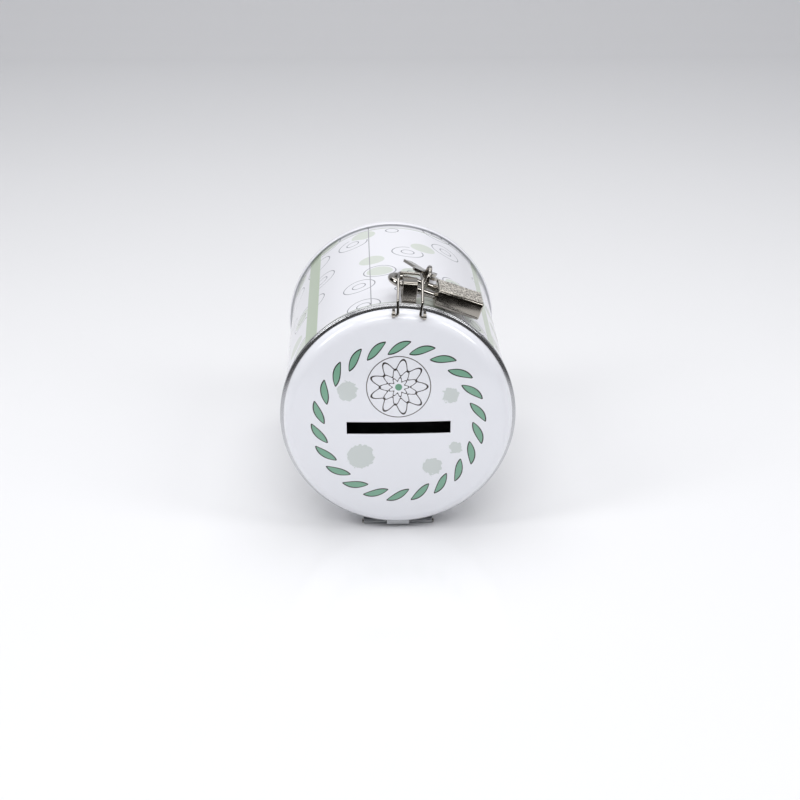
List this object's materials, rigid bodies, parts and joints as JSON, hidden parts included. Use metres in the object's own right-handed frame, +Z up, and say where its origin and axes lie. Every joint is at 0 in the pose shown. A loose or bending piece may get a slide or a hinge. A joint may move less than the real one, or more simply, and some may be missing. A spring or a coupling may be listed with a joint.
{
  "type": "money box",
  "caption": "Round printed tin money box lying on its side, with a hinged domed lid that has a coin slot, and a wire hasp with a small padlock and keys.",
  "frame": {"origin": "middle of the bounding box on the table that the tin lies on", "axes": "+X to the right seen from the lid, +Y along the can's axis from the lid to the base, +Z up, hasp on top"},
  "size_m": [0.087, 0.1133, 0.0974],
  "materials": {
    "printed_tin": "glossy lithographed tinplate",
    "white_enamel": "glossy white enamel on tinplate",
    "plain_tin": "bare bright tinplate",
    "nickel": "nickel plate",
    "wire": "nickel-plated steel wire",
    "brass": "machined brass"
  },
  "bodies": {
    "can": {"can_body": "printed_tin", "can_base": "plain_tin", "hinge_can_leaf": "plain_tin", "hinge_rivets": "nickel", "hinge_pin": "nickel", "hasp_staple": "nickel", "staple_rivets": "nickel"},
    "lid": {"lid_shell": "white_enamel", "lid_collar": "plain_tin", "hinge_lid_leaf": "plain_tin", "bail_lugs": "nickel"},
    "bail": {"hasp_bail": "wire"},
    "shackle_loop": {"shackle": "wire"},
    "padlock": {"padlock_case": "nickel", "padlock_core": "brass", "padlock_cap": "nickel", "latch_spring": "wire"},
    "plug": {"lock_plug": "brass"},
    "latch": {"latch_bolt": "wire"},
    "ring": {"key_ring": "wire"},
    "first_key": {"key_one": "nickel"},
    "second_key": {"key_two": "nickel"}
  },
  "joints": [
    {"name": "lid_open", "type": "hinge", "parent": "can", "child": "lid", "pos_m": [0, -0.04645, 0.0009], "axis": [1, 0, 0], "range_deg": [0, 55]},
    {"name": "bail_lift", "type": "hinge", "parent": "lid", "child": "bail", "pos_m": [0.00381, -0.05385, 0.08642], "axis": [0.9957, 0, -0.0924], "range_deg": [0, 110]},
    {"name": "padlock_swing", "type": "hinge", "parent": "can", "child": "shackle_loop", "pos_m": [0.00439, -0.0415, 0.09275], "axis": [0.9426, 0, -0.3338], "range_deg": [0, 18]},
    {"name": "shackle_release", "type": "slide", "parent": "shackle_loop", "child": "padlock", "axis": [0.9426, 0, -0.3338], "range_m": [0, 0.004]},
    {"name": "plug_turn", "type": "hinge", "parent": "padlock", "child": "plug", "pos_m": [0.02325, -0.0369, 0.08607], "axis": [0.9426, 0, -0.3338], "range_deg": [0, 90]},
    {"name": "latch_draw", "type": "slide", "parent": "padlock", "child": "latch", "axis": [0, 1, 0], "range_m": [0, 0.001], "deforming": ["latch_spring"]},
    {"name": "ring_swing", "type": "hinge", "parent": "shackle_loop", "child": "ring", "pos_m": [0.01043, -0.0323, 0.09061], "axis": [0.9426, 0, -0.3338], "range_deg": [0, 30]},
    {"name": "first_key_swing", "type": "hinge", "parent": "ring", "child": "first_key", "pos_m": [0.01106, -0.0258, 0.0924], "axis": [0.3277, 0.1908, 0.9253], "range_deg": [-8, 8]},
    {"name": "second_key_swing", "type": "hinge", "parent": "ring", "child": "second_key", "pos_m": [0.01106, -0.0258, 0.0924], "axis": [0.3277, 0.1908, 0.9253], "range_deg": [-8, 8]}
  ]
}
